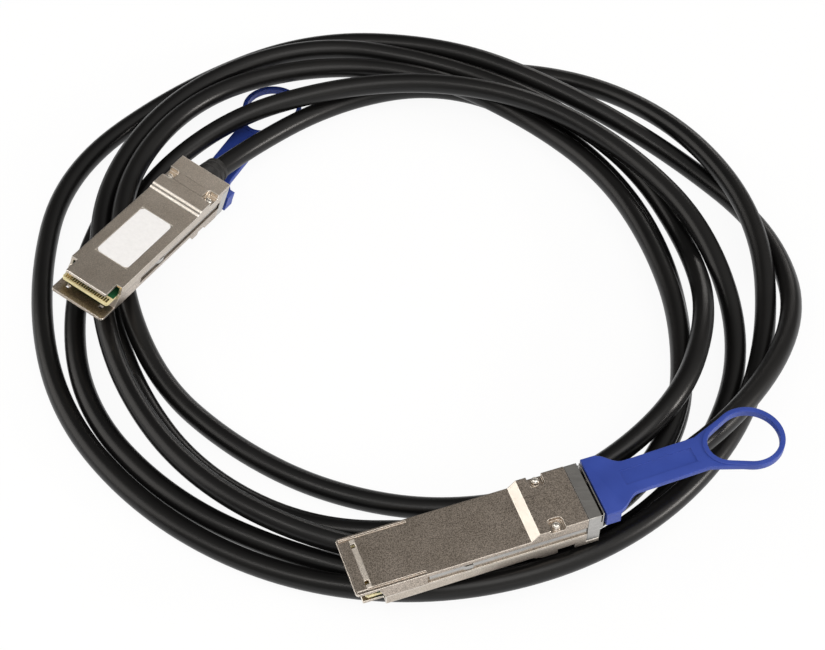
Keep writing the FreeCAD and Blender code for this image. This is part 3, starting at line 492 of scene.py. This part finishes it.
def slab(outlines, low, high, soft=0.18):
    """A flat plate with softened edges from closed outlines; inner outlines are holes."""
    line = bpy.data.curves.new("slab", "CURVE")
    line.dimensions = "2D"
    line.fill_mode = "BOTH"
    line.extrude = (high - low) / 2 - soft
    line.bevel_depth = soft
    line.bevel_resolution = 2
    line.offset = -soft
    for outline in outlines:
        spline = line.splines.new("POLY")
        spline.points.add(len(outline) - 1)
        for spot, (x, y) in zip(spline.points, outline):
            spot.co = (x, y, 0, 1)
        spline.use_cyclic_u = True
    item = bpy.data.objects.new("slab", line)
    mesh = bpy.data.meshes.new_from_object(item)
    bpy.data.objects.remove(item)
    mesh.transform(Matrix.Translation((0, 0, (low + high) / 2)))
    clean = bmesh.new()
    clean.from_mesh(mesh)
    bmesh.ops.remove_doubles(clean, verts=clean.verts, dist=0.001)
    bmesh.ops.recalc_face_normals(clean, faces=clean.faces)
    clean.to_mesh(mesh)
    clean.free()
    return mesh


def combined(first, others):
    """One mesh from a first one and (operation, mesh) pairs. It isn't always closed: see build_screws."""
    item = bpy.data.objects.new("whole", first)
    bpy.context.scene.collection.objects.link(item)
    tools = []
    for operation, mesh in others:
        tool = bpy.data.objects.new("tool", mesh)
        bpy.context.scene.collection.objects.link(tool)
        tools.append(tool)
        cut = item.modifiers.new("cut", "BOOLEAN")
        cut.operation = operation
        cut.solver = "EXACT"
        cut.object = tool
    bpy.context.view_layer.update()
    result = bpy.data.meshes.new_from_object(item.evaluated_get(bpy.context.evaluated_depsgraph_get()))
    for item in [item] + tools:
        bpy.data.objects.remove(item)
    return result


def rectangle(x_low, x_high, y_low, y_high):
    """The four corners of a rectangle, in order."""
    return [(x_low, y_low), (x_high, y_low), (x_high, y_high), (x_low, y_high)]


def bend_tab(mesh, side):
    """Lays a flat tab on its plug: root in the plug's plane, neck in its own, flare between."""
    work = bmesh.new()
    work.from_mesh(mesh)
    bmesh.ops.triangulate(work, faces=work.faces[:])
    for i in range(FLARE_CUTS + 1):
        place = FLARE_START + (FLARE_END - FLARE_START) * i / FLARE_CUTS
        bmesh.ops.bisect_plane(work, geom=work.verts[:] + work.edges[:] + work.faces[:],
                               plane_co=(place, 0, 0), plane_no=(1, 0, 0))
    plug = lay_matrix(side)
    turn, pitch, roll = (math.radians(angle) for angle in NECK_TURN[side])
    neck = Euler((roll, pitch, turn), "XYZ").to_matrix().to_4x4()
    flare = FLARE_END - FLARE_START
    ahead = ((plug.to_3x3() @ Vector((1, 0, 0))) + (neck.to_3x3() @ Vector((1, 0, 0)))).normalized()
    neck.translation = plug @ Vector((FLARE_START, 0, -TAB_UNDER)) + ahead * flare
    for vert in work.verts:
        x, y, z = vert.co
        share = min(max((x - FLARE_START) / flare, 0), 1)
        share = share * share * (3 - 2 * share)
        on_plug = plug @ Vector((x, y, z - TAB_UNDER))
        on_neck = neck @ Vector((x - FLARE_END, y, z))
        vert.co = on_plug.lerp(on_neck, share) * MM
    work.to_mesh(mesh)
    work.free()


def build_tab(side):
    """Moulded tab: cheeked root, flare, neck with a sunk grip field, thin rimmed finger loop."""
    hole = drop(HOLE_PLACE, HOLE_RADIUS, LOOP_PLACE, LOOP_RADIUS - LOOP_BAR)
    rim = drop(HOLE_PLACE, HOLE_RADIUS + RIM_WIDTH, LOOP_PLACE, LOOP_RADIUS)
    parts = [("UNION", slab([rim, hole], RIM_LOW, RIM_HIGH))]
    outer = TAB_HALF_ROOT - CHEEK_INSET
    for low, high in ((-outer, -CHEEK_INNER), (CHEEK_INNER, outer)):
        cheek = rectangle(TAB_ROOT + CHEEK_START, FLARE_START - CHEEK_SHORT, low, high)
        parts.append(("UNION", slab([cheek], CHEEK_FOOT, CHEEK_TOP, 0.25)))
    grip = rectangle(GRIP_START, GRIP_END, -GRIP_HALF, GRIP_HALF)
    parts.append(("DIFFERENCE", slab([grip], -1.0, GRIP_DEPTH, 0.1)))
    mesh = combined(slab([tab_outline(), hole], 0.0, TAB_SHEET), parts)
    bend_tab(mesh, side)
    item = put_piece(f"moulded_tab_{side}", mesh, "tab")
    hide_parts(f"pull_tab_{side}")
    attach(item, f"latch_{side}")


# ---------------------------------------------------------------- screws and posts
def turned(profile, places, side, up=1):
    """Round pieces of one profile, as (radius, height) pairs, standing on a plug."""
    plug, count = lay_matrix(side), ROUND_STEPS
    points, faces = [], []
    for x, y, z in places:
        first = len(points)
        for radius, height in profile:
            for i in range(count):
                angle = 2 * math.pi * i / count
                points.append(plug @ Vector((x + radius * math.cos(angle), y + radius * math.sin(angle),
                                             z + up * height)) * MM)
        for ring in range(len(profile) - 1):
            low, high = first + ring * count, first + (ring + 1) * count
            for i in range(count):
                j = (i + 1) % count
                quad = (low + i, low + j, high + j, high + i)
                faces.append(quad if up > 0 else quad[::-1])
        ends = [tuple(range(first, first + count))[::-1],
                tuple(range(len(points) - count, len(points)))]
        faces += ends if up > 0 else [end[::-1] for end in ends]
    mesh = bpy.data.meshes.new("turned")
    mesh.from_pydata(points, [], faces)
    return mesh


def place_hardware(name, mesh):
    """Puts small steel hardware in the scene, on the body of the coil and the housings."""
    item = put_piece(name, mesh, "screw")
    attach(item, ROOT)
    return item


def build_screws(side):
    """Domed screws with a cross recess, in the cover's pockets.

    Known fault: on plug a the cut leaves scraps of its bars on the second head.
    """
    head = [(SCREW_SHANK, -SCREW_DEEP), (SCREW_SHANK, 0.0), (SCREW_HEAD, 0.0), (SCREW_HEAD, 0.3),
            (1.12, 0.48), (0.85, 0.62), (0.5, 0.69), (0.1, 0.7)]
    places = [(SCREW_PLACE, way * SCREW_SIDE, SCREW_SEAT) for way in (-1, 1)]
    recess = []
    for x, y, z in places:
        for long, wide in ((RECESS_REACH, RECESS_HALF), (RECESS_HALF, RECESS_REACH)):
            bar = rectangle(x - long, x + long, y - wide, y + wide)
            cut = slab([bar], z + RECESS_FLOOR, z + RECESS_TOP, 0.02)
            cut.transform(lay_matrix(side))
            cut.transform(Matrix.Scale(MM, 4))
            recess.append(("DIFFERENCE", cut))
    mesh = combined(turned(head, places, side), recess)
    item = place_hardware(f"cross_head_screws_{side}", mesh)
    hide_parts(f"cover_screws_{side}")


def build_post_caps(side):
    """Domed, ringed ends of the posts in the pockets of the base."""
    cap = [(1.02, -0.3), (1.02, 0.02), (0.96, 0.1), (0.84, 0.12), (0.76, 0.04), (0.70, 0.06),
           (0.60, 0.2), (0.42, 0.29), (0.2, 0.33), (0.04, 0.335)]
    places = [(POST_PLACE, way * POST_SIDE, POST_FACE) for way in (-1, 1)]
    place_hardware(f"post_caps_{side}", turned(cap, places, side, up=-1))


# ---------------------------------------------------------------- light, floor and camera
def area_light(name, place, size, power, colour):
    """A rectangular lamp, aimed at the origin."""
    data = bpy.data.lights.new(name, "AREA")
    data.shape = "RECTANGLE"
    data.size, data.size_y = size
    data.energy = power
    data.color = colour
    item = bpy.data.objects.new(name, data)
    bpy.context.scene.collection.objects.link(item)
    item.location = place
    item.rotation_euler = (-Vector(place)).to_track_quat("-Z", "Y").to_euler()


def white_where_seen(material, share):
    """Lets the camera and reflections see mostly plain white, while light and shadow stay real."""
    tree = material.node_tree
    path = tree.nodes.new("ShaderNodeLightPath")
    seen = tree.nodes.new("ShaderNodeMath")
    seen.operation = "MAXIMUM"
    tree.links.new(path.outputs["Is Camera Ray"], seen.inputs[0])
    tree.links.new(path.outputs["Is Glossy Ray"], seen.inputs[1])
    scale = tree.nodes.new("ShaderNodeMath")
    scale.operation = "MULTIPLY"
    scale.inputs[1].default_value = share
    tree.links.new(seen.outputs[0], scale.inputs[0])
    glow = tree.nodes.new("ShaderNodeEmission")
    glow.inputs["Color"].default_value = (1, 1, 1, 1)
    glow.inputs["Strength"].default_value = 1.0
    mix = tree.nodes.new("ShaderNodeMixShader")
    tree.links.new(scale.outputs[0], mix.inputs["Fac"])
    tree.links.new(tree.nodes["Principled BSDF"].outputs["BSDF"], mix.inputs[1])
    tree.links.new(glow.outputs["Emission"], mix.inputs[2])
    tree.links.new(mix.outputs["Shader"], tree.nodes["Material Output"].inputs["Surface"])


def build_stage():
    """White floor, a sky that brightens above the front right, and the lamps."""
    floor_material = Nodes("floor_paper")
    grain = floor_material.noise(0.02, 2.0)
    tint = floor_material.ramp(grain, [(0.3, (0.90, 0.90, 0.90)), (0.7, (0.92, 0.92, 0.92))])
    floor_material.finish(tint, Roughness=0.9, Specular_IOR_Level=0.1)
    white_where_seen(floor_material.material, FLOOR_WHITE_SHARE)
    mesh = bpy.data.meshes.new("floor")
    corners = rectangle(-FLOOR_REACH, FLOOR_REACH, -FLOOR_REACH, FLOOR_REACH)
    mesh.from_pydata([(x, y, FLOOR_DEPTH) for x, y in corners], [], [(0, 1, 2, 3)])
    mesh.materials.append(floor_material.material)
    floor = bpy.data.objects.new("floor", mesh)
    bpy.context.scene.collection.objects.link(floor)
    world = bpy.data.worlds.new("studio")
    bpy.context.scene.world = world
    world.use_nodes = True
    tree = world.node_tree
    back = tree.nodes["Background"]
    toward = tree.nodes.new("ShaderNodeVectorMath")
    toward.operation = "DOT_PRODUCT"
    tree.links.new(tree.nodes.new("ShaderNodeTexCoord").outputs["Generated"], toward.inputs[0])
    toward.inputs[1].default_value = Vector(SKY_BRIGHT_SIDE).normalized()
    sky = tree.nodes.new("ShaderNodeValToRGB")
    for element, (position, colour) in zip(sky.color_ramp.elements, (SKY_DARK, SKY_BRIGHT)):
        element.position = position
        element.color = colour
    tree.links.new(toward.outputs["Value"], sky.inputs["Fac"])
    tree.links.new(sky.outputs["Color"], back.inputs["Color"])
    back.inputs["Strength"].default_value = 1.0
    for lamp in LAMPS:
        area_light(*lamp)


def build_camera():
    """A long lens from the front and above, as in the photograph."""
    data = bpy.data.cameras.new("camera")
    data.sensor_width = SENSOR
    data.lens = LENS
    data.clip_start = 0.01
    camera = bpy.data.objects.new("camera", data)
    bpy.context.scene.collection.objects.link(camera)
    elevation = math.radians(CAMERA_ELEVATION)
    back, up = CAMERA_DISTANCE * math.cos(elevation), CAMERA_DISTANCE * math.sin(elevation)
    camera.location = (REST + Vector((0, -back, up))) * MM
    camera.rotation_euler = (math.radians(90) - elevation, 0, 0)
    bpy.context.scene.camera = camera


paint_frame()
build_cable()
for side in "ab":
    build_tab(side)
    build_screws(side)
    build_post_caps(side)
build_stage()
build_camera()
bpy.context.scene.view_settings.view_transform = "Standard"
